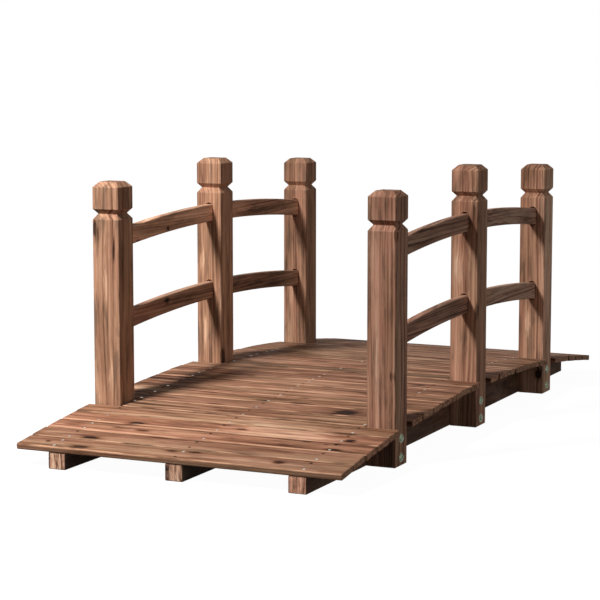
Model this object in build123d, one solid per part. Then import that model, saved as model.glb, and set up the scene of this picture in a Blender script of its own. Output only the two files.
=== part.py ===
# Small arched garden bridge in heat-browned fir: three beams cut to one arch carry a deck of
# narrow boards, and six posts bolted to the outer beams hold two bowed rails on each side.
# X runs across the walkway, Y along it and Z up. The origin is on the ground, under the middle.

from build123d import *
import os
from math import asin, cos, degrees, sin, sqrt

# Deck
bridge_length = 1500.0
plank_length = 668.0
plank_overhang = 10.0
plank_width = 52.5
plank_thickness = 12.0
plank_edge_radius = 2.5
least_plank_gap = 2.0
deck_crown_height = 96.5
deck_end_height = 43.0

# Beams under the deck
beam_thickness = 36.0
beam_end_setback = 2.0
plank_seat = 0.05

# Posts
post_side = 58.5
post_from_end = 304.0
end_post_height = 519.5
middle_post_height = 543.0
post_head_bevel = 10.7
post_groove_top = 54.0
post_groove_middle = 63.5
post_groove_bottom = 74.5
post_groove_depth = 8.2
short_plank_inset = 3.0
short_plank_end_gap = 2.0

# Rails, one bowed bar a side at each height, through the middle post
rail_height = 37.0
rail_thickness = 17.0
rail_edge_radius = 3.0
rail_radius = 4000.0
upper_rail_crown = 425.5
lower_rail_crown = 257.0
mortise_side_gap = 1.5
mortise_end_gap = 3.3
mortise_depth = 35.0
rail_end_gap = 2.0

# Bolts, two through each post and the beam beside it
bolt_diameter = 8.0
bolt_hole_gap = 0.5
bolt_head_diameter = 18.0
bolt_head_height = 4.5
lower_bolt_height = 15.5
bolt_pitch = 37.0
nut_across_flats = 13.0
nut_height = 8.0
nut_flange_diameter = 18.0
nut_flange_height = 2.0
nut_bore_gap = 0.1
bolt_tip = 4.0

# Worked out from the sizes above
half_length = bridge_length / 2
deck_rise = deck_crown_height - deck_end_height
deck_radius = (half_length**2 + deck_rise**2) / (2 * deck_rise)
deck_arc_centre = deck_crown_height - deck_radius
beam_radius = deck_radius - plank_thickness - plank_seat
post_outer_face = plank_length / 2 - plank_overhang
beam_outer_face = post_outer_face - post_side
post_x = post_outer_face - post_side / 2
end_post_y = half_length - post_from_end
bolt_heights = (lower_bolt_height, lower_bolt_height + bolt_pitch)
rail_crowns = (upper_rail_crown, lower_rail_crown)


def beam():
    """One beam: flat on the ground, plumb ends, and a top that follows the deck's arch."""
    half = half_length - beam_end_setback
    end_height = deck_arc_centre + sqrt(beam_radius**2 - half**2)
    crown = deck_arc_centre + beam_radius
    outline = [
        Line((-half, 0), (half, 0)),
        Line((half, 0), (half, end_height)),
        ThreePointArc((half, end_height), (0, crown), (-half, end_height)),
        Line((-half, end_height), (-half, 0)),
    ]
    return extrude(Plane.YZ * make_face(outline), amount=beam_thickness / 2, both=True)


def plank(length, width, angle):
    """A flat board with eased long edges, laid on the arch at an angle from the crown."""
    section = RectangleRounded(width, plank_thickness, plank_edge_radius)
    board = extrude(Plane.YZ * section, amount=length / 2, both=True)
    raised = Pos(0, 0, deck_radius - plank_thickness / 2) * board
    return Pos(0, 0, deck_arc_centre) * Rot(-degrees(angle), 0, 0) * raised


def deck_angle(y):
    """Angle from the crown at which the deck's top passes a distance along the bridge."""
    return asin(y / deck_radius)


def full_plank_angles(start, end, gaps_at_ends):
    """Angles of the full boards that fill an arc evenly, with a gap at one or both of its ends."""
    room = (end - start) * deck_radius
    spare_gap = gaps_at_ends - 1
    count = int((room - spare_gap * least_plank_gap) // (plank_width + least_plank_gap))
    gap = (room - count * plank_width) / (count + spare_gap)
    pitch = plank_width + gap
    first = start + (gap + plank_width / 2) / deck_radius
    return [first + index * pitch / deck_radius for index in range(count)]


def deck_planks():
    """All the boards in order from the front end: length, width and angle of each."""
    short_length = 2 * (beam_outer_face - short_plank_end_gap)
    short_width = post_side - 2 * short_plank_inset
    near_face = deck_angle(end_post_y - post_side / 2)
    far_face = deck_angle(end_post_y + post_side / 2)
    middle_face = deck_angle(post_side / 2)
    bay = full_plank_angles(middle_face, near_face, 2)
    ramp = full_plank_angles(far_face, deck_angle(half_length), 1)
    back_half = [(plank_length, plank_width, angle) for angle in bay]
    back_half.append((short_length, short_width, deck_angle(end_post_y)))
    back_half += [(plank_length, plank_width, angle) for angle in ramp]
    front_half = [(length, width, -angle) for length, width, angle in reversed(back_half)]
    return front_half + [(short_length, short_width, 0.0)] + back_half


def post_outline(height):
    """Front view of a post: square shaft, a V groove under the head and a bevelled top."""
    side = post_side / 2
    right = [
        (side, 0),
        (side, height - post_groove_bottom),
        (side - post_groove_depth, height - post_groove_middle),
        (side, height - post_groove_top),
        (side, height - post_head_bevel),
        (side - post_head_bevel, height),
    ]
    left = [(-x, z) for x, z in reversed(right)]
    return make_face(Polyline(*right, *left, close=True))


def rail_point(crown, angle):
    """Point of a rail's centre line at an angle from its crown, as Y and Z."""
    return rail_radius * sin(angle), crown - rail_radius * (1 - cos(angle))


def mortise(crown, angle, length):
    """Round-ended slot cutter along the rail, centred on the angle from the rail's crown."""
    y, z = rail_point(crown, angle)
    along = Vector(0, cos(angle), -sin(angle))
    middle = Plane(origin=(0, y, z), x_dir=(1, 0, 0), z_dir=along)
    slot = SlotOverall(
        rail_height + 2 * mortise_end_gap,
        rail_thickness + 2 * mortise_side_gap,
        rotation=90,
    )
    return extrude(middle * slot, amount=length / 2, both=True)


def post(side, row):
    """One post. Side is -1 left or 1 right; row is -1 front, 0 middle or 1 back."""
    height = end_post_height if row else middle_post_height
    outline = post_outline(height)
    lengthwise = extrude(Plane.YZ * outline, amount=post_side / 2, both=True)
    crosswise = extrude(Plane.XZ * outline, amount=post_side / 2, both=True)
    shape = Pos(0, row * end_post_y, 0) * (lengthwise & crosswise)
    # An end post is cut from the face that looks to the middle, a middle post right through.
    face_angle = row * asin((end_post_y - post_side / 2) / rail_radius)
    depth = mortise_depth if row else post_side
    for crown in rail_crowns:
        shape -= mortise(crown, face_angle, 2 * depth)
    for height_of_bolt in bolt_heights:
        hole = Rot(0, 90, 0) * Cylinder(bolt_diameter / 2 + bolt_hole_gap, 2 * post_side)
        shape -= Pos(0, row * end_post_y, height_of_bolt) * hole
    return Pos(side * post_x, 0, 0) * shape


def rail(side, crown):
    """One bowed bar that runs through the middle post and ends inside both end posts."""
    reach = end_post_y - post_side / 2 + mortise_depth - rail_end_gap
    half_angle = asin(reach / rail_radius)
    section = RectangleRounded(rail_thickness, rail_height, rail_edge_radius)
    raised = Pos(0, 0, rail_radius) * (Plane.XZ * section)
    bar = revolve(raised, Axis.X, revolution_arc=degrees(2 * half_angle))
    centred = Rot(-degrees(half_angle), 0, 0) * bar
    return Pos(side * post_x, 0, crown - rail_radius) * centred


def bolt():
    """Round-headed bolt along X, its head outwards at +X and its seat at the origin."""
    head_radius = bolt_head_diameter / 2
    dome_radius = (head_radius**2 + bolt_head_height**2) / (2 * bolt_head_height)
    shank_length = post_side + beam_thickness + nut_height + bolt_tip
    dome = Pos(0, 0, bolt_head_height - dome_radius) * Sphere(dome_radius)
    slab = Pos(0, 0, bolt_head_height / 2) * Cylinder(bolt_head_diameter, bolt_head_height)
    shank = Pos(0, 0, -shank_length / 2) * Cylinder(bolt_diameter / 2, shank_length)
    return Rot(0, 90, 0) * (dome & slab) + Rot(0, 90, 0) * shank


def nut():
    """Flanged hexagon nut along X, with its flange's seat at the origin."""
    flange = extrude(Circle(nut_flange_diameter / 2), amount=nut_flange_height)
    hexagon = extrude(RegularPolygon(nut_across_flats / 2, 6, major_radius=False), amount=nut_height)
    bore = Cylinder(bolt_diameter / 2 + nut_bore_gap, 3 * nut_height)
    return Rot(0, -90, 0) * (flange + hexagon - bore)


def fasteners(side, piece, seat):
    """The six like pieces on one side of the bridge, seated at a distance from its middle."""
    turned = piece if side > 0 else Rot(0, 0, 180) * piece
    places = [(row * end_post_y, height) for row in (-1, 0, 1) for height in bolt_heights]
    return Compound([Pos(side * seat, y, z) * turned for y, z in places])


def drilled_beam():
    """An outer beam, with the holes for the bolts of its three posts."""
    shape = beam()
    for row in (-1, 0, 1):
        for height in bolt_heights:
            hole = Rot(0, 90, 0) * Cylinder(bolt_diameter / 2 + bolt_hole_gap, 2 * beam_thickness)
            shape -= Pos(0, row * end_post_y, height) * hole
    return shape


def save(shape, name):
    """Write one piece to its own file."""
    shape.label = name
    export_step(shape, f"parts/{name}.step")


os.makedirs("parts", exist_ok=True)

outer_beam_x = beam_outer_face - beam_thickness / 2
save(Pos(-outer_beam_x, 0, 0) * drilled_beam(), "beam_left")
save(beam(), "beam_centre")
save(Pos(outer_beam_x, 0, 0) * drilled_beam(), "beam_right")

for number, (length, width, angle) in enumerate(deck_planks(), start=1):
    save(plank(length, width, angle), f"deck_plank_{number:02d}")

for side, side_name in ((-1, "left"), (1, "right")):
    for row, row_name in ((-1, "front"), (0, "middle"), (1, "back")):
        save(post(side, row), f"post_{row_name}_{side_name}")
    save(rail(side, upper_rail_crown), f"handrail_{side_name}")
    save(rail(side, lower_rail_crown), f"lower_rail_{side_name}")
    save(fasteners(side, bolt(), post_outer_face), f"post_bolts_{side_name}")
    save(fasteners(side, nut(), beam_outer_face - beam_thickness), f"bolt_nuts_{side_name}")
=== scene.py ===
from math import asin, atan2, cos, pi, radians, sin

import bmesh
import bpy
import numpy as np
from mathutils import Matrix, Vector


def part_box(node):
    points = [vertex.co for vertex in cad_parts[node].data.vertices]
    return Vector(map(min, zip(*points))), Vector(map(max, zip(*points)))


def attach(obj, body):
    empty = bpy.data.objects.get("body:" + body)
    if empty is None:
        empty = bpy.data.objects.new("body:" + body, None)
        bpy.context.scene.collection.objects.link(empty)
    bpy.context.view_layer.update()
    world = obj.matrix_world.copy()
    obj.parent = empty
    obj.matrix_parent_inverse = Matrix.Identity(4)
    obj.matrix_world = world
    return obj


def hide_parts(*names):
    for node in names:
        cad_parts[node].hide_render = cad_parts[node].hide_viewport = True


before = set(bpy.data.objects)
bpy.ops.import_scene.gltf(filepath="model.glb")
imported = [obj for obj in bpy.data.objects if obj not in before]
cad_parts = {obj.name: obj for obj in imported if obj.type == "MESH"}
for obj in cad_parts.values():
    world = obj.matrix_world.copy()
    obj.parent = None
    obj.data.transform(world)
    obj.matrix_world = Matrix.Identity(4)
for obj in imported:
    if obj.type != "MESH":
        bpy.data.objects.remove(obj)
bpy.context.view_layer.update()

# The view. The bridge is seen from in front and from its right, from above the handrails and
# about four metres off, through a lens long enough to keep the posts upright. The picture's
# width and the lens's length are both counted in points of the picture.
camera_place = (1.71183, -3.92657, 0.79169)
camera_turn = 0.430285
camera_dip = 0.126702
picture_width = 600
sight_length = 2020.04
film_width = 36

scene = bpy.context.scene
scene.view_settings.view_transform = "Standard"
camera = bpy.data.objects.new("camera", bpy.data.cameras.new("camera"))
scene.collection.objects.link(camera)
scene.camera = camera
camera.data.sensor_width = film_width
camera.data.lens = film_width * sight_length / picture_width
ahead = Vector((
    -sin(camera_turn) * cos(camera_dip),
    cos(camera_turn) * cos(camera_dip),
    -sin(camera_dip),
))
camera.location = camera_place
camera.rotation_mode = "QUATERNION"
camera.rotation_quaternion = ahead.to_track_quat("-Z", "Y")


# The studio. A round lamp high in front on the left lights the bridge and throws the shadows, a
# wide weak one on the right lifts the sides, white walls all round fill in a little, and the
# floor is a plain white sheet.
class Shade:
    """A value in a material. Sums and products of values add Math nodes; node() adds any other."""

    def __init__(self, tree, socket=None):
        self.tree = tree
        self.socket = socket

    def node(self, kind, settings=None, sockets=None, output=0):
        """Add a node: its settings first, then its sockets, each given a number or a value."""
        made = self.tree.nodes.new(kind)
        for name, setting in (settings or {}).items():
            if name == "stops":
                ramp = made.color_ramp.elements
                while len(ramp) < len(setting):
                    ramp.new(1)
                for stop, (place, shade) in zip(ramp, setting):
                    stop.position = place
                    stop.color = shade
            else:
                setattr(made, name, setting)
        for name, given in (sockets or {}).items():
            if isinstance(given, Shade):
                self.tree.links.new(given.socket, made.inputs[name])
            else:
                made.inputs[name].default_value = given
        return Shade(self.tree, made.outputs[output])

    def math(self, operation, *values):
        """The result of a Math node on these values."""
        return self.node("ShaderNodeMath", {"operation": operation}, dict(enumerate(values)))

    def __add__(self, other):
        return self.math("ADD", self, other)

    def __radd__(self, other):
        return self.math("ADD", other, self)

    def __sub__(self, other):
        return self.math("SUBTRACT", self, other)

    def __rsub__(self, other):
        return self.math("SUBTRACT", other, self)

    def __mul__(self, other):
        return self.math("MULTIPLY", self, other)

    def __rmul__(self, other):
        return self.math("MULTIPLY", other, self)

    def __truediv__(self, other):
        return self.math("DIVIDE", self, other)

    def __rtruediv__(self, other):
        return self.math("DIVIDE", other, self)

    def __pow__(self, other):
        return self.math("POWER", self, other)

    def step(self, low, high):
        """Smooth rise from 0 at low to 1 at high, or a fall where low is the higher."""
        sockets = {"Value": self, "From Min": low, "From Max": high}
        return self.node("ShaderNodeMapRange", {"interpolation_type": "SMOOTHSTEP"}, sockets)

    def scaled(self, other):
        """This vector or colour, with each of its three numbers times its own number."""
        return self.node("ShaderNodeVectorMath", {"operation": "MULTIPLY"}, {0: self, 1: other})

    def noise(self, scale, detail=2.0, roughness=0.5):
        """Cloudy noise from 0 to 1 at this place, with a scale for each axis: how many of its
        clouds go to a metre there."""
        place = self.scaled(scale)
        sockets = {"Vector": place, "Scale": 1.0, "Detail": detail, "Roughness": roughness}
        return self.node("ShaderNodeTexNoise", None, sockets)

    def blend(self, other, share):
        """This colour, with a share of another over it."""
        return self.node("ShaderNodeMix", {"data_type": "RGBA"}, {0: share, 6: self, 7: other}, 2)

    def times(self, share):
        """This colour or vector with all three of its numbers times one value."""
        return self.node("ShaderNodeVectorMath", {"operation": "SCALE"}, {0: self, "Scale": share})

    def parts(self):
        """The three numbers of this vector."""
        first = self.node("ShaderNodeSeparateXYZ", None, {0: self})
        return [Shade(self.tree, socket) for socket in first.socket.node.outputs]

    def colour(self, plain):
        """A plain colour as a value, for blending."""
        return self.node("ShaderNodeMix", {"data_type": "RGBA"}, {0: 0.0, 6: plain, 7: plain}, 2)


screen_curve = 2.2
plain_white = (1.0, 1.0, 1.0, 1.0)


def paint(red, green, blue):
    """A colour as it looks on a screen, 0 to 255, as the numbers that a material takes. Each is
    its share of 255, raised to the power of the screen's curve."""
    return tuple((channel / 255) ** screen_curve for channel in (red, green, blue)) + (1.0,)


def new_material(name):
    """A fresh material: the material, its main shader node, and a Shade to build with."""
    material = bpy.data.materials.new(name)
    material.use_nodes = True
    tree = material.node_tree
    return material, tree.nodes["Principled BSDF"], Shade(tree)


def lamp(name, place, aim, size, spread, power):
    """A round lamp at a place, turned to its aim: how wide it is, the angle of its beam in
    degrees, and its power in watts."""
    made = bpy.data.objects.new(name, bpy.data.lights.new(name, "AREA"))
    scene.collection.objects.link(made)
    made.data.shape = "DISK"
    made.data.size = size
    made.data.spread = radians(spread)
    made.data.energy = power
    made.location = place
    made.rotation_mode = "QUATERNION"
    made.rotation_quaternion = (Vector(aim) - Vector(place)).to_track_quat("-Z", "Y")


lamp("key_lamp", (-0.86, -2.0, 2.32), (-0.5, -0.7, 0.15), size=0.55, spread=80, power=26.5)
lamp("side_lamp", (3.3, -0.9, 1.0), (0.0, 0.1, 0.3), size=1.6, spread=120, power=5.8)
fill_strength = 0.085


def plainly_seen(maker):
    """1 for what the camera sees, straight or in a mirror or through glass, and 0 for the light."""
    rays = [
        maker.node("ShaderNodeLightPath", output=f"Is {kind} Ray")
        for kind in ("Camera", "Glossy", "Transmission")
    ]
    return rays[0].math("MAXIMUM", rays[0], rays[1].math("MAXIMUM", rays[1], rays[2]))


world = bpy.data.worlds.new("studio")
scene.world = world
world.use_nodes = True
backdrop = world.node_tree.nodes["Background"]
backdrop.inputs["Color"].default_value = plain_white
seen = plainly_seen(Shade(world.node_tree))
glow = seen + (1 - seen) * fill_strength
world.node_tree.links.new(glow.socket, backdrop.inputs["Strength"])

# The floor lies a hair under the ground. It sends back a tenth of the light, shows white to the
# camera, and is a shade less than white near the bridge, so that the shadow shows on it.
floor_half = 9.0
floor_gap = 0.0005
floor_bounce = 0.10
floor_near_glow = 0.972
floor_near = 1.0
floor_far = 2.2
floor_corners = [
    (side * floor_half, end * floor_half, -floor_gap)
    for side, end in ((-1, -1), (1, -1), (1, 1), (-1, 1))
]
floor_mesh = bpy.data.meshes.new("floor")
floor_mesh.from_pydata(floor_corners, [], [(0, 1, 2, 3)])
floor = bpy.data.objects.new("floor", floor_mesh)
scene.collection.objects.link(floor)
floor_paint, floor_shader, maker = new_material("floor_paint")
floor_mesh.materials.append(floor_paint)
floor_shader.inputs["Roughness"].default_value = 1.0
floor_shader.inputs["Specular IOR Level"].default_value = 0.0
floor_shader.inputs["Base Color"].default_value = (floor_bounce, floor_bounce, floor_bounce, 1.0)
spot = maker.node("ShaderNodeTexCoord", output="Object")
from_middle = maker.node("ShaderNodeVectorMath", {"operation": "LENGTH"}, {0: spot}, "Value")
whiteness = floor_near_glow + (1 - floor_near_glow) * from_middle.step(floor_near, floor_far)
glowing = maker.colour(plain_white).times(plainly_seen(maker) * whiteness)
maker.tree.links.new(glowing.socket, floor_shader.inputs["Emission Color"])
floor_shader.inputs["Emission Strength"].default_value = 1.0


# The beams. Three fir planks on edge, flat on the ground, with their tops sawn to the arch of
# the deck and their ends cut plumb. The outer two are bolted to the posts.
# A point that gathers no dirt and no painted shade counts as far_from_rim, and edges sharper than
# sharp_angle show as edges. Each piece is cut from a log log_length long at a place that logs
# draws, and mark_room holds how many knots and stains each wood leaves room for.
far_from_rim = 0.02
sharp_angle = 12
log_length = 60
logs = np.random.default_rng(58)
mark_room = {}


class Skin:
    """Points and faces of one piece, in the piece's own frame: along the grain, across, through.

    Each point also has how pale or dark its edge is made, from 1 on a corner that is pale from
    rubbing and from a painted highlight to -1 in a gap that is dirty and in painted shade, and its
    distance from the rim of the piece, where the wood gets dirty and, beside the deck's gaps, takes
    painted shade.
    """

    def __init__(self, rows, worn, rim):
        """Skin through a row of like outlines: point j of each outline joins point j of the next."""
        stations, around = rows.shape[:2]
        self.points = [rows.reshape(-1, 3)]
        self.worn = [worn.reshape(-1)]
        self.rim = [rim.reshape(-1)]
        self.count = stations * around
        self.number = np.arange(self.count).reshape(stations, around)
        beside = np.roll(self.number, -1, axis=1)
        self.walls = np.stack([self.number[:-1], beside[:-1], beside[1:], self.number[1:]], axis=-1)
        self.kept = np.ones(self.walls.shape[:2], bool)
        self.more = [self.number[0, ::-1].tolist(), self.number[-1].tolist()]

    def join(self, outer, inner):
        """Faces between two loops of as many points."""
        quads = np.stack([outer, np.roll(outer, -1), np.roll(inner, -1), inner], axis=-1)
        self.more += quads.tolist()

    def ring(self, outer, points, worn=0.0):
        """A loop of new points, joined to the loop outside it."""
        inner = np.arange(self.count, self.count + len(points))
        self.count += len(points)
        self.points.append(points)
        self.worn.append(np.full(len(points), worn))
        self.rim.append(np.full(len(points), far_from_rim))
        self.join(outer, inner)
        return inner

    def open_block(self, first, last, left, right):
        """Take out the faces of a block of the grid, and give the loop of points round it."""
        self.kept[first:last, left:right] = False
        number = self.number
        return np.concatenate([
            number[first, left:right],
            number[first:last, right],
            number[last, right:left:-1],
            number[last:first:-1, left],
        ])

    def place_of(self, numbers):
        """Where these points are."""
        return np.concatenate(self.points)[numbers]

    def finish(self, name, node, material, place, heart, tone, marks=(), lie=None):
        """Make the piece. place carries its own frame into the bridge's. heart is where the heart
        of the log lies in its section, so that its growth rings run round that line. lie gives the
        place of each point in the log, where that isn't the piece's own frame. tone is how light
        the piece is, its hue and the strength of its rings. marks are its knots and stains: the
        place of each, half its reach each way, and its strength."""
        own = np.concatenate(self.points)
        faces = self.walls[self.kept].tolist() + self.more
        corners = np.concatenate([np.asarray(face) for face in faces])
        used, flat = np.unique(corners, return_inverse=True)
        ends = np.cumsum([len(face) for face in faces])[:-1]
        own = own[used]
        mesh = bpy.data.meshes.new(name)
        mesh.from_pydata(place(own), [], [part.tolist() for part in np.split(flat, ends)])
        shell = bmesh.new()
        shell.from_mesh(mesh)
        if shell.calc_volume(signed=True) < 0:
            bmesh.ops.reverse_faces(shell, faces=shell.faces[:])
        shell.to_mesh(mesh)
        shell.free()
        cut_from = np.array([logs.uniform(0, log_length), heart[0], heart[1]])
        put_values(mesh, "grain", (lie(own) if lie else own) + cut_from)
        put_values(mesh, "worn", np.concatenate(self.worn)[used])
        put_values(mesh, "rim", np.concatenate(self.rim)[used])
        put_values(mesh, "tone", np.tile(tone, (len(own), 1)))
        room = mark_room[material.name]
        no_mark = (0.0, 0.0, 0.0, 1.0, 1.0, 1.0, 0.0)
        # besides knots and stains, a few marks are patches of painted light and shade
        for number, mark in enumerate((list(marks) + [no_mark] * room)[:room]):
            centre = np.array(mark[:3])
            reach = np.array(mark[3:6])
            force = mark[6]
            put_values(mesh, f"mark_{number}", np.tile(centre + cut_from, (len(own), 1)))
            put_values(mesh, f"mark_form_{number}", np.tile(1 / reach, (len(own), 1)))
            put_values(mesh, f"mark_force_{number}", np.full(len(own), force))
        mesh.shade_smooth()
        mesh.set_sharp_from_angle(angle=radians(sharp_angle))
        mesh.materials.append(material)
        piece = bpy.data.objects.new(name, mesh)
        scene.collection.objects.link(piece)
        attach(piece, "root")
        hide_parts(node)


def put_values(mesh, name, values):
    """Keep a number or a vector for each point of the mesh, for its material to read."""
    single = values.ndim == 1
    layer = mesh.attributes.new(name, "FLOAT" if single else "FLOAT_VECTOR", "POINT")
    layer.data.foreach_set("value" if single else "vector", values.astype(np.float32).ravel())


corner_margin = 0.001
corner_points = 4


def eased_outline(radius, above, beside, below):
    """Outline of a rectangle with rounded corners, as a fixed part and a part that grows.

    A point is its fixed part plus its pull times the rectangle's half width and half height. The
    straight runs pass the places given for the top, the sides and the bottom. Four points on a
    quarter circle round off each corner, with one more before and after them. Also says which
    points lie on a corner that is pale from rubbing and from a painted highlight.
    """
    margin = radius + corner_margin
    bends = np.linspace(0, pi / 2, corner_points)
    fixed, pull, worn = [], [], []
    runs = ((beside, (1, 0)), (above, (0, 1)), (beside, (-1, 0)), (below, (0, -1)))
    for places, pulled in runs:
        along = np.array([-pulled[1], pulled[0]])
        centre = np.array(pulled) + along
        # the straight run on this side
        for spot in sorted(places):
            fixed.append(along * spot)
            pull.append(pulled)
            worn.append(0.0)
        # then the corner at its end, with a point before and after it
        fixed.append(-along * margin)
        pull.append(centre)
        worn.append(0.0)
        for bend in bends:
            arm = np.array(pulled) * cos(bend) + along * sin(bend)
            fixed.append(radius * (arm - centre))
            pull.append(centre)
            worn.append(1.0)
        fixed.append(-np.array(pulled) * margin)
        pull.append(centre)
        worn.append(0.0)
    return np.array(fixed), np.array(pull, float), np.array(worn)


# A mark darkens its core more than the halo round it, and rings swing round it. Most marks are
# knots and stains, and a few are patches of painted light and shade; one with a negative strength
# makes the wood paler. Rings also wander, ripple and differ in width. On the way from cream at 0
# to black at 1, plain wood lies at plain_depth.
mark_core = 0.36
mark_halo = 0.18
ring_swing = 0.004
ring_wander = 0.03
ring_ripple = 0.0022
ring_unevenness = 3.0
plain_depth = 0.46
thickest_dirt_and_shade = 0.75
# the dark colour of dirt, which also paints the shade in gaps and holes
grime_and_shade = paint(46, 34, 28)
olive_cast = (0.95, 1.0, 0.97, 1.0)
rose_cast = (1.05, 0.965, 0.985, 1.0)
smoke_cast = (0.56, 0.61, 0.65, 1.0)
wood_shine = 0.02
relief_strength = 0.5
relief_height = 0.0006


def wood(name, end_axis, cream, pale, mid, dark, black, ring_width, room, contrast,
         dashes=0.2, end_gain=0.7, end_contrast=0.0, soil_and_shade=0.3, wear_and_highlight=0.3, smoky=0.6):
    """Heat-browned fir, in five colours from its palest fibre to its blackest.

    The number of a growth ring is the distance from the heart of the log over the width of a
    ring, and each ring has a pale early part and a dark late part. The rings wander a little and
    swing round the knots. Fibres, streaks, dark dashes and pale scuffs follow them. Stains, smoky
    patches, soiling and painted shade in the gaps and holes, and corners pale from rubbing and from
    a painted highlight lie over all that.

    end_axis is the axis that the grain runs along, and room is how many marks a piece may have.
    contrast is the strength of the figure, end_contrast is what a cut end adds to it, and
    end_gain makes cut ends lighter or darker. dashes and smoky are the strengths of the dark dashes
    and the smoky patches; two more give the strength of the soiling with the painted shade in gaps
    and holes, and of the rubbing with its painted highlight.
    """
    material, shader, maker = new_material(name)
    mark_room[name] = room

    def kept(label, output="Fac"):
        return maker.node("ShaderNodeAttribute", {"attribute_name": label}, None, output)

    grain = kept("grain", "Vector")
    along, across, deep = grain.parts()
    light, hue, lines = kept("tone", "Vector").parts()
    worn = kept("worn")
    rim = kept("rim")

    # Knots, stains and patches of painted light and shade: how far each place is from the middle of
    # each, in that mark's own size.
    ragged = grain.noise((26, 230, 230), 3.0) - 0.5
    push, stain_and_painted_light = 0.0, 0.0
    for number in range(room):
        away = maker.node(
            "ShaderNodeVectorMath",
            {"operation": "SUBTRACT"},
            {0: grain, 1: kept(f"mark_{number}", "Vector")},
        ).scaled(kept(f"mark_form_{number}", "Vector"))
        distance = away.node("ShaderNodeVectorMath", {"operation": "LENGTH"}, {0: away}, "Value")
        reach = distance + ragged * 1.5
        force = kept(f"mark_force_{number}")
        core = reach.step(1.1, 0.5) * mark_core
        halo = reach.step(1.9, 0.6) * mark_halo
        stain_and_painted_light = stain_and_painted_light + force * (core + halo)
        push = push + force / (1 + reach**4)

    # Growth rings, numbered outwards from the heart, each with a late part of its own darkness.
    wander = grain.noise((1.2, 8, 8)) - 0.5
    ripple = grain.noise((7, 60, 60)) - 0.5
    from_heart = (across * across + deep * deep) ** 0.5
    out = from_heart + wander * ring_wander + ripple * ring_ripple + push * ring_swing
    spacing = out.node("ShaderNodeTexNoise", {"noise_dimensions": "1D"}, {"W": out * 70, "Scale": 1.0})
    rings = out / ring_width + spacing * ring_unevenness
    part = rings.math("FRACT", rings)
    year = rings.math("FLOOR", rings)
    chance = rings.node("ShaderNodeTexWhiteNoise", {"noise_dimensions": "1D"}, {"W": year})
    late = part.step(0.30, 0.90) * part.step(1.0, 0.93) * (0.25 + 0.75 * chance)

    # What follows the rings: fibres, streaks, broad bands, dark dashes, pale scuffs and hairs.
    flow = grain.node("ShaderNodeCombineXYZ", None, {0: along, 1: out, 2: (across + deep) * 0.15})
    fibre = flow.noise((26, 1500, 1500), 3.0, 0.6)
    streak = flow.noise((4, 310, 310), 3.0)
    band = flow.noise((1.7, 80, 80), 2.0)
    dash = flow.noise((8, 120, 150), 3.0, 0.55).step(0.57, 0.73)
    scuff = flow.noise((7, 140, 140), 4.0, 0.6).step(0.56, 0.74)
    hair = flow.noise((3, 620, 620), 2.0).step(0.60, 0.70)
    cloud = grain.noise((5, 34, 34), 3.0)
    figure = (
        ((late - 0.25) * 0.40 + (streak - 0.5) * 0.62) * lines
        + (fibre - 0.5) * 0.30
        + (band - 0.5) * 0.74
        + (cloud - 0.5) * 0.50
        + dash * dashes
        - scuff * 0.16
        - hair * 0.14
    )

    # How deep the colour is, from cream to black, and then its cast: olive, rose or smoky.
    facing = maker.node("ShaderNodeNewGeometry", output="True Normal").parts()[end_axis]
    cut_end = facing.math("ABSOLUTE", facing).step(0.80, 0.97)
    depth = plain_depth + figure * contrast * (1 + cut_end * end_contrast) + stain_and_painted_light
    stops = [(0.0, cream), (0.26, pale), (0.50, mid), (0.76, dark), (1.0, black)]
    colour = depth.node("ShaderNodeValToRGB", {"stops": stops}, {"Fac": depth})
    turn = (hue + (grain.noise((3.5, 24, 24), 2.0) - 0.5) * 2.2).step(0.0, 1.0)
    tint = maker.colour(olive_cast).blend(rose_cast, turn)
    cast = colour.scaled(tint).times(light * (1 + cut_end * (end_gain - 1)))
    smoke = grain.noise((10, 70, 70), 5.0, 0.62).step(0.49, 0.64) * smoky
    cast = cast.blend(cast.scaled(maker.colour(smoke_cast)), smoke)

    # Dirt along the rims, which beside the deck's gaps is also painted shade; dirt and painted shade
    # down in the gaps and holes; and corners pale from rubbing and from a painted highlight.
    rim_dirt_and_gap_shade = rim.step(0.0045, 0.0008) * grain.noise((9, 90, 90), 2.0).step(0.35, 0.65) * soil_and_shade
    dirt_and_gap_shade = rim_dirt_and_gap_shade.math("MAXIMUM", rim_dirt_and_gap_shade, 0 - worn)
    soiled_and_shaded = cast.blend(grime_and_shade, dirt_and_gap_shade.math("MINIMUM", dirt_and_gap_shade * thickest_dirt_and_shade, thickest_dirt_and_shade))
    rubbed_and_highlit = worn.math("MAXIMUM", worn, 0.0) * grain.noise((14, 120, 120), 2.0).step(0.36, 0.60)
    finished = soiled_and_shaded.blend(pale, rubbed_and_highlit * wear_and_highlight)
    maker.tree.links.new(finished.socket, shader.inputs["Base Color"])

    rough = 0.62 + (fibre - 0.5) * 0.25 + late * 0.06 - rubbed_and_highlit * 0.08
    maker.tree.links.new(rough.socket, shader.inputs["Roughness"])
    shader.inputs["Specular IOR Level"].default_value = wood_shine

    height = late * 0.5 + (fibre - 0.5) * 0.7 + (streak - 0.5) * 0.8 - dash * 0.25
    bump = {"Strength": relief_strength, "Distance": relief_height, "Height": height}
    relief = height.node("ShaderNodeBump", None, bump)
    maker.tree.links.new(relief.socket, shader.inputs["Normal"])
    return material


beam_wood = wood(
    "beam_wood",
    end_axis=1,
    cream=paint(214, 174, 146),
    pale=paint(190, 146, 121),
    mid=paint(148, 109, 88),
    dark=paint(98, 70, 56),
    black=paint(48, 36, 31),
    ring_width=0.008,
    room=1,
    contrast=1.2,
    # cut ends five and a half times lighter than the sides, whose darkness is painted shade
    end_gain=5.5,
    end_contrast=0.2,
    smoky=0.2,
)

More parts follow.
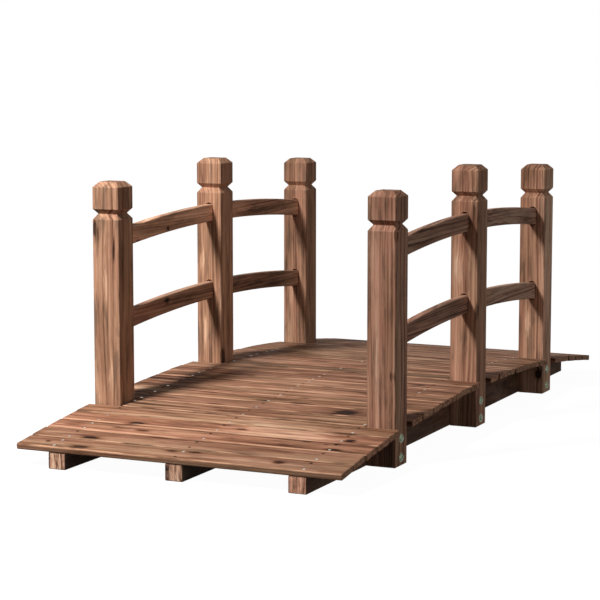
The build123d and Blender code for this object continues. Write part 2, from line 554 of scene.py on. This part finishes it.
deck_radius = 5.28382
deck_top = 0.0965
board_thickness = 0.012
board_seat = 0.00005
arch_middle = deck_top - deck_radius
beam_top_radius = deck_radius - board_thickness - board_seat
beam_ease = 0.0012
beam_rows_along = 61
beam_width_lines = (-0.006, 0.006)
beam_height_lines = (-0.01, 0.0, 0.01)


def make_beam(node, heart, tone):
    """A beam: an eased rectangle carried along the bridge, its height following the arch, so that
    the top at a distance y is the height of a circle of the deck's curvature under the boards."""
    low, high = (np.array(corner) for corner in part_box(node))
    fixed, pull, worn = eased_outline(beam_ease, beam_width_lines, beam_height_lines, beam_width_lines)
    reach = high[1]
    between = np.linspace(-reach + beam_ease, reach - beam_ease, beam_rows_along)
    stations = np.concatenate([[-reach], between, [reach]])
    tops = arch_middle + np.sqrt(beam_top_radius**2 - stations**2)
    drawn_in = np.where(abs(stations) > reach - beam_ease / 2, beam_ease, 0.0)
    half_width = (high[0] - low[0]) / 2
    half_height = tops[:, None] / 2
    rows = np.zeros((len(stations), len(fixed), 3))
    rows[..., 0] = stations[:, None]
    rows[..., 1] = fixed[:, 0] + pull[:, 0] * (half_width - drawn_in[:, None])
    rows[..., 2] = half_height + fixed[:, 1] + pull[:, 1] * (half_height - drawn_in[:, None])
    edges = np.maximum(worn[None, :], (drawn_in > 0)[:, None] * 1.0)
    middle = (low[0] + high[0]) / 2
    from_side = half_width - abs(rows[..., 1])
    from_top_or_foot = np.minimum(rows[..., 2], tops[:, None] - rows[..., 2])
    skin = Skin(rows, edges, np.maximum(from_side, from_top_or_foot))
    skin.finish(
        node + "_timber", node, beam_wood,
        lambda own: np.stack([middle + own[:, 1], own[:, 0], own[:, 2]], axis=-1),
        heart, tone,
    )


# Each beam: where its heart lies, and its light, hue and ring strength. The light is low, so the
# beams' sides carry painted shade as under the deck, and the end gain of their wood brings their
# cut ends back up.
make_beam("beam_left", (0.19, -0.022), (0.21, 0.4, 2.4))
make_beam("beam_centre", (-0.21, -0.024), (0.19, 0.5, 2.4))
make_beam("beam_right", (0.17, -0.018), (0.30, 0.6, 0.7))


# The deck boards. Twenty-seven thin fir boards laid across the arch, with eased long edges and a
# narrow gap between neighbours. The three between the feet of a pair of posts are short.
deck_wood = wood(
    "deck_wood",
    end_axis=0,
    cream=paint(226, 184, 152),
    pale=paint(198, 151, 121),
    mid=paint(160, 115, 89),
    dark=paint(104, 71, 54),
    black=paint(48, 35, 29),
    ring_width=0.006,
    room=6,
    contrast=1.1,
    end_gain=1.2,
    soil_and_shade=0.8,
    wear_and_highlight=0.8,
)
last_board = 27
board_ease = 0.0025
board_end_ease = 0.0008
board_end_margin = 0.003
longest_stretch = 0.022
board_side_lines = (0.0,)
board_foot_lines = (-0.012, 0.0, 0.012)
beam_rows = (-0.257, 0.0, 0.257)

# Each screw's hole is sunk in a block of the board's top, narrows at its lip and its floor, and is
# darkened inside with painted shade.
screw_offset = 0.0155
screw_hole = 0.0036
hole_block = 0.005
hole_narrower = 0.0003
hole_floor_narrower = 0.0004
hole_lip_depth = 0.0004
under_head = 0.0008
block = hole_block * np.linspace(-1, 1, 5)

# How far the boards may be out of true.
most_cup = 0.00018
most_bow = 0.0002
most_twist = 0.00025
most_shift = 0.0012
most_skew = 0.0008

# How far down its rounded corner a board's edge stays pale: further on the edge towards the front
# ramp, which faces the lamp and takes more painted highlight, than on the one behind. Below that
# lies the gap's dirt and painted shade.
front_pale_depth = 0.75
back_pale_depth = 0.3
foot_wear = 0.3
end_wear = 0.6

# The five boards of the front ramp have fainter rings than the rest. A knot goes right through.
front_boards = 5
front_lines = 0.65
other_lines = 1.25
right_through = 0.1

# Where the heart of a board's log may lie: how far to the side, and how far above or below.
heart_aside = 0.03
nearest_heart = 0.018
farthest_heart = 0.07

rng = np.random.default_rng(417)


def lay(lean, middle):
    """The move that takes a board's own frame to its place on the arch: turned by its lean about
    the line across the bridge, and then moved to its middle."""
    def move(own):
        y = own[:, 1] * cos(lean) + own[:, 2] * sin(lean)
        z = own[:, 2] * cos(lean) - own[:, 1] * sin(lean)
        return np.stack([middle[0] + own[:, 0], middle[1] + y, middle[2] + z], axis=-1)
    return move


def make_board(number, screws, marks, light):
    """A board: an eased rectangle carried along its length and laid at a tangent to the arch. Its
    top rises by its cup times the square of the place across, its bow times the square of the
    place along, and its twist times both. Each screw's hole is a well that narrows a little, sunk
    where a block of the top is left out. screws holds, for each screw, a place along, a place
    across and the depth of its head. light is how light the board is."""
    node = f"deck_plank_{number:02d}"
    low, high = (np.array(corner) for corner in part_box(node))
    middle = (low + high) / 2
    lean = atan2(middle[1], middle[2] - arch_middle)
    half_length = (high[0] - low[0]) / 2
    half_width = (high[1] - low[1] - board_thickness * abs(sin(lean))) / 2 / cos(lean)
    lines = np.concatenate([screw_offset + block, -screw_offset + block, [0.0]])
    fixed, pull, worn = eased_outline(board_ease, lines, board_side_lines, board_foot_lines)
    spans = [np.array([0.0, board_end_ease, board_end_margin]) - half_length]
    for beam in beam_rows:
        spans.append(beam + block)
    spans.append(half_length - np.array([board_end_margin, board_end_ease, 0.0]))
    stations = [spans[0]]
    for before, after in zip(spans[:-1], spans[1:]):
        between = int((after[0] - before[-1]) / longest_stretch)
        stations.append(np.linspace(before[-1], after[0], between + 2)[1:-1])
        stations.append(after)
    stations = np.concatenate(stations)
    at_end = abs(stations) > half_length - board_end_ease / 2
    drawn_in = np.where(at_end, board_end_ease, 0.0)
    rows = np.zeros((len(stations), len(fixed), 3))
    rows[..., 0] = stations[:, None]
    rows[..., 1] = fixed[:, 0] + pull[:, 0] * (half_width - drawn_in[:, None])
    rows[..., 2] = fixed[:, 1] + pull[:, 1] * (board_thickness / 2 - drawn_in[:, None])
    # a slight cup, bow and twist of its own, and ends a hair uneven
    cup, bow, twist, shift, skew = rng.uniform(-1, 1, 5)
    across = rows[..., 1] / half_width
    along = rows[..., 0] / half_length
    rows[..., 2] += most_cup * cup * across**2 + most_bow * bow * along**2
    rows[..., 2] += most_twist * twist * across * along
    rows[..., 0] += most_shift * shift + most_skew * skew * across
    # top corners are rubbed and take a painted highlight, and gaps are dirty and in painted shade,
    # but the bridge's two outermost edges face no gap
    drop = np.where(pull[:, 1] == 1, -fixed[:, 1] / board_ease, 0.0)
    in_gap = (drop > np.where(pull[:, 0] < 0, front_pale_depth, back_pale_depth)) | (pull[:, 1] == 0)
    free_edges = {1: pull[:, 0] < 0, last_board: pull[:, 0] > 0}
    outermost = free_edges.get(number, np.zeros(len(pull), bool))
    rubbed_and_highlit = worn * np.where(pull[:, 1] < 0, foot_wear, 1.0)
    edges = np.where(in_gap & ~outermost, -1.0, rubbed_and_highlit)
    edges = np.maximum(edges[None, :], np.where(at_end, end_wear, -1.0)[:, None])
    rim = np.where(outermost[None, :], far_from_rim, half_width - abs(rows[..., 1]))
    skin = Skin(rows, edges, rim)
    for along_place, across_place, depth in screws:
        column = int(np.argmin(abs(stations - along_place)))
        top = np.nonzero((pull[:, 1] == 1) & (pull[:, 0] == 0))[0]
        line = top[int(np.argmin(abs(fixed[top, 0] - across_place)))]
        loop = skin.open_block(column - 2, column + 2, line - 2, line + 2)
        spots = skin.place_of(loop)
        centre = skin.place_of(np.array([skin.number[column, line]]))[0]
        arms = spots - centre
        arms[:, 2] = 0
        arms /= np.linalg.norm(arms, axis=1)[:, None]
        # the last number of each ring is how dark it is painted: shade, deepest at the floor
        hole_rings = (
            (screw_hole, 0.0, 0.0),
            (screw_hole - hole_narrower, hole_lip_depth, -0.6),
            (screw_hole - hole_floor_narrower, depth + under_head, -1.0),
        )
        for radius, sunk, hole_shade in hole_rings:
            ring_points = centre + arms * radius
            ring_points[:, 2] -= sunk
            loop = skin.ring(loop, ring_points, hole_shade)
        skin.more.append(loop.tolist())
        screw_spots.append((lay(lean, middle)(centre[None, :])[0], lean, depth))
    heart_side = rng.choice([-1, 1])
    heart = (
        rng.uniform(-heart_aside, heart_aside),
        heart_side * rng.uniform(nearest_heart, farthest_heart),
    )
    line_strength = front_lines if number <= front_boards else other_lines
    # its own light, hue and ring strength, each by chance within a range
    tone = (
        light * rng.uniform(0.87, 1.13),
        rng.uniform(0.25, 0.95),
        line_strength * rng.uniform(0.5, 1.2),
    )
    through = [(x, y, 0.0, run, width, right_through, force) for x, y, run, width, force in marks]
    skin.finish(
        f"deck_board_{number:02d}", node, deck_wood, lay(lean, middle),
        heart, tone, through,
    )


# Knots, stains, pale stretches and broad patches of painted shade, by board: place along and
# across it, half its length and its width, and its strength, which is negative where the wood is
# paler than the rest.
deck_marks = {
    1: [(-0.205, -0.014, 0.020, 0.012, 0.8), (-0.281, 0.002, 0.006, 0.004, 0.8),
        (-0.021, 0.0107, 0.015, 0.006, 0.7), (0.024, 0.0147, 0.015, 0.005, 0.7),
        (0.198, 0.004, 0.012, 0.008, 1.0), (0.250, 0.024, 0.012, 0.005, 0.6)],
    2: [(-0.209, -0.0146, 0.022, 0.007, 0.8), (0.105, -0.0263, 0.030, 0.006, 0.6)],
    3: [(-0.135, -0.0047, 0.014, 0.005, 0.6), (-0.184, 0.0029, 0.012, 0.005, 0.6),
        (0.264, -0.0145, 0.016, 0.006, 0.8), (0.259, 0.0196, 0.005, 0.004, 0.7),
        (0.24, 0.0104, 0.004, 0.003, 0.7), (0.198, 0.0181, 0.010, 0.004, 0.6),
        (0.10, 0.0, 0.14, 0.040, -0.35)],
    4: [(-0.171, -0.020, 0.019, 0.009, 1.0), (0.273, -0.0098, 0.011, 0.009, 1.1),
        (0.046, 0.0, 0.016, 0.006, 0.6), (0.13, 0.0, 0.12, 0.040, -0.65)],
    5: [(-0.17, 0.0267, 0.022, 0.006, 0.6), (0.10, 0.0, 0.12, 0.040, -0.4)],
    6: [(-0.102, -0.0228, 0.022, 0.006, 0.6)],
    7: [(0.187, -0.005, 0.026, 0.018, 0.9), (-0.09, -0.0209, 0.020, 0.006, 0.6)],
    8: [(0.070, -0.0185, 0.036, 0.007, 0.8), (0.052, 0.0231, 0.018, 0.005, 0.5),
        (-0.013, -0.0167, 0.014, 0.005, 0.5)],
    # The broad marks at the ends of boards 9 to 13 and 18 are painted shade: at the left end the left
    # rails' shadow with some wear, and at the right end the dimmer light over the right bay.
    9: [(-0.27, 0.0, 0.09, 0.05, 0.35)],
    10: [(-0.29, 0.0, 0.07, 0.05, 0.35)],
    11: [(-0.26, 0.01, 0.08, 0.04, 0.35), (0.25, 0.0, 0.10, 0.05, 0.25)],
    12: [(0.23, -0.0007, 0.016, 0.008, 0.8), (-0.24, 0.0, 0.10, 0.03, 0.3)],
    13: [(0.26, 0.0, 0.09, 0.05, 0.35)],
    16: [(0.18, 0.008, 0.05, 0.010, 0.5)],
    18: [(-0.2, -0.01, 0.03, 0.008, 0.8), (0.27, 0.0, 0.10, 0.05, 0.3)],
    19: [(0.05, 0.0, 0.10, 0.010, 0.4)],
}

# How light each board is, where it is lighter or darker than is usual.
usual_light = 0.68
board_light = {1: 0.60, 2: 0.58, 3: 0.78, 4: 0.84, 5: 0.80, 7: 0.62, 14: 0.60, 15: 0.64}

# On the front boards, screws in the front row of a board are flush and those behind are sunk,
# apart from these, by board and beam. Further back the two come by chance.
flush_behind = {(1, 0), (3, 0), (4, 0), (6, 0), (1, 1)}
sunk_in_front = {(1, 1), (2, 1)}
flush_depth = 0.0002
sunk_depth = 0.0024
last_ordered_board = 9
flush_share = 0.5
driver = np.random.default_rng(23)
screw_spots = []
for number in range(1, last_board + 1):
    pattern = []
    for beam_number, beam in enumerate(beam_rows):
        for side in (-1, 1):
            if number > last_ordered_board:
                flush = driver.random() < flush_share
            elif side > 0:
                flush = (number, beam_number) in flush_behind
            else:
                flush = (number, beam_number) not in sunk_in_front
            pattern.append((beam, side * screw_offset, flush_depth if flush else sunk_depth))
    light = board_light.get(number, usual_light)
    make_board(number, pattern, deck_marks.get(number, ()), light)


# The screws. Zinc-plated countersunk wood screws with a cross recess, two through each board
# into each beam, some drawn down flush and some well below the surface.
screw_zinc, screw_shader, maker = new_material("screw_zinc")
screw_shader.inputs["Metallic"].default_value = 1.0
screw_shader.inputs["Base Color"].default_value = paint(214, 210, 200)
screw_shader.inputs["Roughness"].default_value = 0.32

# A head is rings of points round its middle, each at a share of its radius. The recess is a
# cross: every fourth point of a ring lies on one of its arms, and the others between them.
millimetre = 0.001
head_radius = 0.0031
head_around = 16
turns = np.arange(head_around) * 2 * pi / head_around
head_rings = np.array([0.12, 0.32, 0.62, 0.94, 1.0]) * head_radius
arm_depth = np.array([0.9, 0.8, 0.25, 0.0, 0.35]) * millimetre
between_depth = np.array([0.9, 0.1, 0.0, 0.0, 0.35]) * millimetre
on_arm = np.arange(head_around) % 4 == 0
head = np.zeros((len(head_rings), head_around, 3))
head[..., 0] = head_rings[:, None] * np.cos(turns)
head[..., 1] = head_rings[:, None] * np.sin(turns)
head[..., 2] = -np.where(on_arm[None, :], arm_depth[:, None], between_depth[:, None])
head_points = head.reshape(-1, 3)
grid = np.arange(len(head_points)).reshape(head.shape[:2])
beside = np.roll(grid, -1, axis=1)
quads = np.stack([grid[:-1], grid[1:], beside[1:], beside[:-1]], axis=-1)
head_faces = quads.reshape(-1, 4).tolist()
head_faces.append(grid[0].tolist())
all_points = []
all_faces = []
for spot, lean, depth in screw_spots:
    turn = rng.uniform(0, 2 * pi)
    spun = head_points.copy()
    spun[:, 0] = head_points[:, 0] * cos(turn) - head_points[:, 1] * sin(turn)
    spun[:, 1] = head_points[:, 0] * sin(turn) + head_points[:, 1] * cos(turn)
    spun[:, 2] -= depth
    first = len(head_points) * len(all_points)
    all_faces += [[first + corner for corner in face] for face in head_faces]
    all_points.append(lay(lean, spot)(spun))
screw_mesh = bpy.data.meshes.new("deck_screws")
screw_mesh.from_pydata(np.concatenate(all_points), [], all_faces)
screw_mesh.materials.append(screw_zinc)
screw_mesh.shade_smooth()
screws = bpy.data.objects.new("deck_screws", screw_mesh)
scene.collection.objects.link(screws)
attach(screws, "root")


# The posts. Six square fir posts that stand on the ground, each with a V groove sawn round it
# under a bevelled head. Round-ended mortises take the rails, blind in the end posts and right
# through in the middle pair.
post_wood = wood(
    "post_wood",
    end_axis=2,
    cream=paint(222, 181, 153),
    pale=paint(190, 145, 119),
    mid=paint(156, 114, 92),
    dark=paint(106, 75, 59),
    black=paint(52, 38, 32),
    ring_width=0.005,
    room=6,
    contrast=0.92,
    dashes=0.08,
    soil_and_shade=0.6,
    smoky=0.85,
)
post_ease = 0.0013

# The side view runs up from the arris of the foot, by the groove and the bevel, to a flat top,
# whose rim lies top_inset bevels in. Its corners are cut back a little.
foot_arris = 0.0008
head_bevel = 0.0107
top_inset = 1.15
groove_top = 0.054
groove_middle = 0.0635
groove_bottom = 0.0745
groove_depth = 0.0082
corner_cut = 0.0005
past_cut = 0.0016
longest_cut_share = 0.45
groove_wear = 0.4

# A mortise follows its rail in from the face, and a block of the face round it is left out.
rail_radius = 4.0
rail_crowns = (0.4255, 0.257)
mortise_half_width = 0.010
mortise_half_run = 0.0118
mortise_depth = 0.035
mortise_lip = 0.0004
mortise_columns = (-0.014, -0.007, 0.0, 0.007, 0.014)
mortise_rows = np.linspace(-0.026, 0.026, 9)


def eased_run(corners):
    """A run of straight lines whose inner corners are cut back a little on both sides, with a
    further point beyond each cut. Also says which points lie on a cut corner."""
    run = [corners[0]]
    worn = [0.0]
    for before, corner, after in zip(corners[:-2], corners[1:-1], corners[2:]):
        length_back = np.linalg.norm(before - corner)
        length_on = np.linalg.norm(after - corner)
        back = (before - corner) / length_back
        on = (after - corner) / length_on
        longest = longest_cut_share * min(length_back, length_on)
        margin = min(past_cut, longest)
        cut = min(corner_cut, longest)
        run += [corner + back * margin, corner + back * cut, corner + on * cut, corner + on * margin]
        worn += [0.0, 1.0, 1.0, 0.0]
    run.append(corners[-1])
    worn.append(0.0)
    return np.array(run), np.array(worn)


def make_post(node, row, heart, tone, marks):
    """A post: an eased square carried up from the ground, whose half width follows the side view
    of the post: straight, in to the groove and out again, then in up the bevel of its head. A
    mortise is all the points at one distance from a short upright spine. row is -1 for a front
    post, 0 for a middle one and 1 for one at the back."""
    low, high = (np.array(corner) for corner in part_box(node))
    middle = (low + high) / 2
    half = (high[0] - low[0]) / 2
    height = high[2]
    side_view = np.array([
        (half - foot_arris, 0.0),
        (half, foot_arris),
        (half, height - groove_bottom),
        (half - groove_depth, height - groove_middle),
        (half, height - groove_top),
        (half, height - head_bevel),
        (half - head_bevel, height),
        (half - top_inset * head_bevel, height),
    ])
    run, cuts = eased_run(side_view)
    face_y = -row * half
    mortises = []
    for crown in rail_crowns:
        lean = asin((middle[1] + face_y) / rail_radius)
        mortises.append((crown - rail_radius * (1 - cos(lean)), lean))
    # the rows of the side view and those round the mortises, in order of height
    extra = np.concatenate([centre + mortise_rows for centre, _ in mortises])
    taken = np.concatenate([run[:, 1], extra])
    order = np.argsort(taken, kind="stable")
    heights = taken[order]
    half_widths = np.concatenate([run[:, 0], np.full(len(extra), half)])[order]
    worn_rows = np.concatenate([cuts, np.zeros(len(extra))])[order]
    fixed, pull, worn = eased_outline(post_ease, mortise_columns, mortise_columns, mortise_columns)
    rows = np.zeros((len(heights), len(fixed), 3))
    rows[..., 0] = heights[:, None]
    rows[..., 1] = fixed[:, 0] + pull[:, 0] * half_widths[:, None]
    rows[..., 2] = fixed[:, 1] + pull[:, 1] * half_widths[:, None]
    rim = np.maximum(half - abs(rows[..., 1]), half - abs(rows[..., 2]))
    skin = Skin(rows, np.maximum(worn[None, :], groove_wear * worn_rows[:, None]), rim)
    for centre, lean in mortises:
        first = int(np.argmin(abs(heights - (centre + mortise_rows[0]))))
        loops = []
        for facing in ((-row,) if row else (-1, 1)):
            side = np.nonzero((pull[:, 1] == facing) & (pull[:, 0] == 0))[0]
            loop = skin.open_block(first, first + len(mortise_rows) - 1, side[0], side[-1])
            spots = skin.place_of(loop)
            spine = spots.copy()
            spine[:, 0] = np.clip(spots[:, 0], centre - mortise_half_run, centre + mortise_half_run)
            spine[:, 1] = 0
            arms = spots - spine
            arms /= np.linalg.norm(arms, axis=1)[:, None]
            lip = spine + arms * (mortise_half_width + mortise_lip)
            loop = skin.ring(loop, lip, 1.0)
            wall = spine + arms * mortise_half_width
            wall[:, 2] -= facing * mortise_lip
            loop = skin.ring(loop, wall, 0.5)
            loops.append(loop)
        if row:
            # an end post's mortise has a floor
            deep = skin.place_of(loops[0])
            deep[:, 2] += row * mortise_depth * cos(lean)
            deep[:, 0] -= row * mortise_depth * sin(lean)
            skin.more.append(skin.ring(loops[0], deep).tolist())
        else:
            # a middle post's runs through, from each point to the nearest one of the other face
            near, far = (skin.place_of(loop) for loop in loops)
            apart = np.linalg.norm(near[:, None, :2] - far[None, :, :2], axis=-1)
            skin.join(loops[0], loops[1][np.argmin(apart, axis=1)])
    skin.finish(
        node + "_timber", node, post_wood,
        lambda own: np.stack([middle[0] + own[:, 1], middle[1] + own[:, 2], own[:, 0]], axis=-1),
        heart, tone, marks,
    )


# Each post: row, where its heart lies, its light, hue and ring strength, and its knots and stains,
# among which are a patch of painted shade on the middle right post and a stretch of painted light
# on the back right one. A mark is its height, its place across and through, half its reach each
# way, and its strength, which is negative for a pale scuff or painted light. front is just inside
# the face that looks to the front ramp.
front = -0.029
posts = {
    "post_front_left": (-1, (0.03, 0.08), (1.13, 0.15, 0.6), [
        (0.493, 0.0, 0.0, 0.034, 0.05, 0.05, 0.16),
        (0.428, -0.026, front, 0.020, 0.005, 0.010, 0.9),
        (0.414, -0.017, front, 0.016, 0.003, 0.010, 0.5),
        (0.385, 0.018, front, 0.030, 0.0025, 0.010, 0.9),
        (0.315, -0.002, front, 0.034, 0.005, 0.012, -0.5),
        (0.126, 0.010, front, 0.040, 0.006, 0.012, -0.5)]),
    "post_middle_left": (0, (0.05, 0.07), (1.44, 0.0, 0.6), [
        (0.516, 0.0, 0.0, 0.034, 0.05, 0.05, 0.15),
        (0.321, -0.017, front, 0.024, 0.006, 0.012, -0.5),
        (0.105, 0.029, -0.022, 0.028, 0.006, 0.012, 0.9),
        (0.167, -0.009, front, 0.034, 0.005, 0.012, -0.6)]),
    "post_back_left": (1, (0.07, 0.05), (1.20, 0.2, 0.7), [
        (0.20, -0.01, front, 0.040, 0.006, 0.012, -0.4)]),
    "post_front_right": (-1, (0.12, 0.03), (0.84, 0.6, 1.2), [
        (0.493, 0.0, 0.0, 0.034, 0.05, 0.05, 0.16),
        (0.174, 0.021, front, 0.009, 0.0040, 0.006, 0.6),
        (0.44, 0.029, front, 0.016, 0.005, 0.008, 0.6)]),
    "post_middle_right": (0, (-0.06, 0.08), (1.10, 0.4, 0.8), [
        # beside the upper mortise, a dark patch of painted shade from the rail
        (0.44, 0.022, front, 0.030, 0.012, 0.012, 0.5),
        (0.246, 0.029, front, 0.014, 0.006, 0.008, 0.9),
        (0.43, -0.006, front, 0.070, 0.030, 0.030, 0.35),
        (0.516, 0.0, 0.0, 0.034, 0.05, 0.05, 0.3),
        (0.33, -0.012, front, 0.034, 0.012, 0.020, -0.35)]),
    "post_back_right": (1, (-0.08, 0.06), (1.36, 0.4, 0.9), [
        # the whole right side made paler: painted light
        (0.25, 0.033, 0.0, 0.5, 0.007, 0.060, -0.5),
        (0.493, 0.0, 0.0, 0.034, 0.05, 0.05, 0.25),
        (0.046, 0.019, front, 0.012, 0.008, 0.012, 1.6),
        (0.16, -0.008, front, 0.036, 0.006, 0.012, -0.5)]),
}
for node, (row, heart, tone, marks) in posts.items():
    make_post(node, row, heart, tone, marks)


# The rails. Two bowed bars a side, sawn to a curve from one wide board, with rounded edges. Each
# runs right through its middle post and ends inside the mortises of the end posts.
rail_wood = wood(
    "rail_wood",
    end_axis=1,
    cream=paint(212, 172, 147),
    pale=paint(184, 142, 119),
    mid=paint(150, 112, 92),
    dark=paint(100, 73, 59),
    black=paint(50, 38, 33),
    ring_width=0.005,
    room=3,
    contrast=1.1,
    dashes=0.12,
)
rail_height = 0.037
rail_thickness = 0.017
rail_ease = 0.003
rail_rows_along = 65
rail_width_lines = (-0.003, 0.003)
rail_height_lines = (-0.009, 0.0, 0.009)


def make_rail(node, heart, tone, marks):
    """A rail: an eased rectangle carried along a circle of the rail's radius, to the same angle on
    both sides of its crown."""
    low, high = (np.array(corner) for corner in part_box(node))
    centre_x = (low[0] + high[0]) / 2
    crown = high[2] - rail_height / 2
    reach = asin(high[1] / (rail_radius + rail_height / 2))
    fixed, pull, worn = eased_outline(rail_ease, rail_width_lines, rail_height_lines, rail_width_lines)
    angles = np.linspace(-reach, reach, rail_rows_along)
    rows = np.zeros((len(angles), len(fixed), 3))
    rows[..., 0] = angles[:, None] * rail_radius
    rows[..., 1] = fixed[:, 0] + pull[:, 0] * rail_thickness / 2
    rows[..., 2] = fixed[:, 1] + pull[:, 1] * rail_height / 2

    def bow(own):
        """From the distance along the rail to a place on its circle, whose middle is far below."""
        angle = own[:, 0] / rail_radius
        out = rail_radius + own[:, 2]
        z = crown - rail_radius + out * np.cos(angle)
        return np.stack([centre_x + own[:, 1], out * np.sin(angle), z], axis=-1)

    def in_board(own):
        """The place in the straight board that the rail is sawn from, where the grain is straight."""
        bent = bow(own)
        return np.stack([bent[:, 1], own[:, 1], bent[:, 2] - crown], axis=-1)

    from_side = rail_thickness / 2 - abs(rows[..., 1])
    from_top_or_foot = rail_height / 2 - abs(rows[..., 2])
    skin = Skin(rows, np.tile(worn, (len(angles), 1)), np.maximum(from_side, from_top_or_foot))
    skin.finish(node + "_timber", node, rail_wood, bow, heart, tone, marks, in_board)


# Each rail: where its heart lies, its light, hue and ring strength, and its knots and stains, by
# place along, across and up, half the reach each way, and strength. The broad last mark darkens
# the back half of each left rail, and paints light over the back half of each right rail.
outer_face = rail_thickness / 2
rails = {
    "handrail_left": ((0.02, 0.06), (2.2, 0.2, 0.4), [
        (-0.232, outer_face, -0.0165, 0.005, 0.0045, 0.004, 1.1),
        (-0.360, outer_face, -0.0325, 0.008, 0.005, 0.004, 0.8),
        (0.25, 0.0, -0.01, 0.16, 0.03, 0.05, 0.4)]),
    "lower_rail_left": ((0.03, -0.05), (1.35, 0.2, 0.5), [
        (-0.239, outer_face, 0.001, 0.009, 0.006, 0.006, 1.1),
        (0.25, 0.0, -0.01, 0.14, 0.03, 0.05, 0.3)]),
    # a paler back half: painted light
    "handrail_right": ((0.025, 0.03), (0.82, 0.6, 1.4), [(0.3, 0.0, 0.0, 0.22, 0.05, 0.08, -0.65)]),
    "lower_rail_right": ((0.03, 0.08), (1.0, 0.6, 1.4), [(0.3, 0.0, 0.0, 0.22, 0.05, 0.08, -0.5)]),
}
for node, (heart, tone, marks) in rails.items():
    make_rail(node, heart, tone, marks)


# The bolts and nuts. Round-headed steel bolts with a greenish zinc finish, two through each post
# and the beam behind it, and flanged nuts on the inner side.
bolt_zinc, bolt_shader, maker = new_material("bolt_zinc")
bright_zinc = maker.colour(paint(122, 130, 108))
dark_zinc = paint(62, 70, 54)
place = maker.node("ShaderNodeTexCoord", output="Object")
mottle = place.noise((260, 260, 260), 3.0)
tarnish = bright_zinc.blend(dark_zinc, mottle.step(0.35, 0.7))
maker.tree.links.new(tarnish.socket, bolt_shader.inputs["Base Color"])
dull = 0.34 + mottle * 0.3
maker.tree.links.new(dull.socket, bolt_shader.inputs["Roughness"])
bolt_shader.inputs["Metallic"].default_value = 0.7
for side_name in ("left", "right"):
    for node in (f"post_bolts_{side_name}", f"bolt_nuts_{side_name}"):
        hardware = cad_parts[node]
        hardware.data.materials.clear()
        hardware.data.materials.append(bolt_zinc)
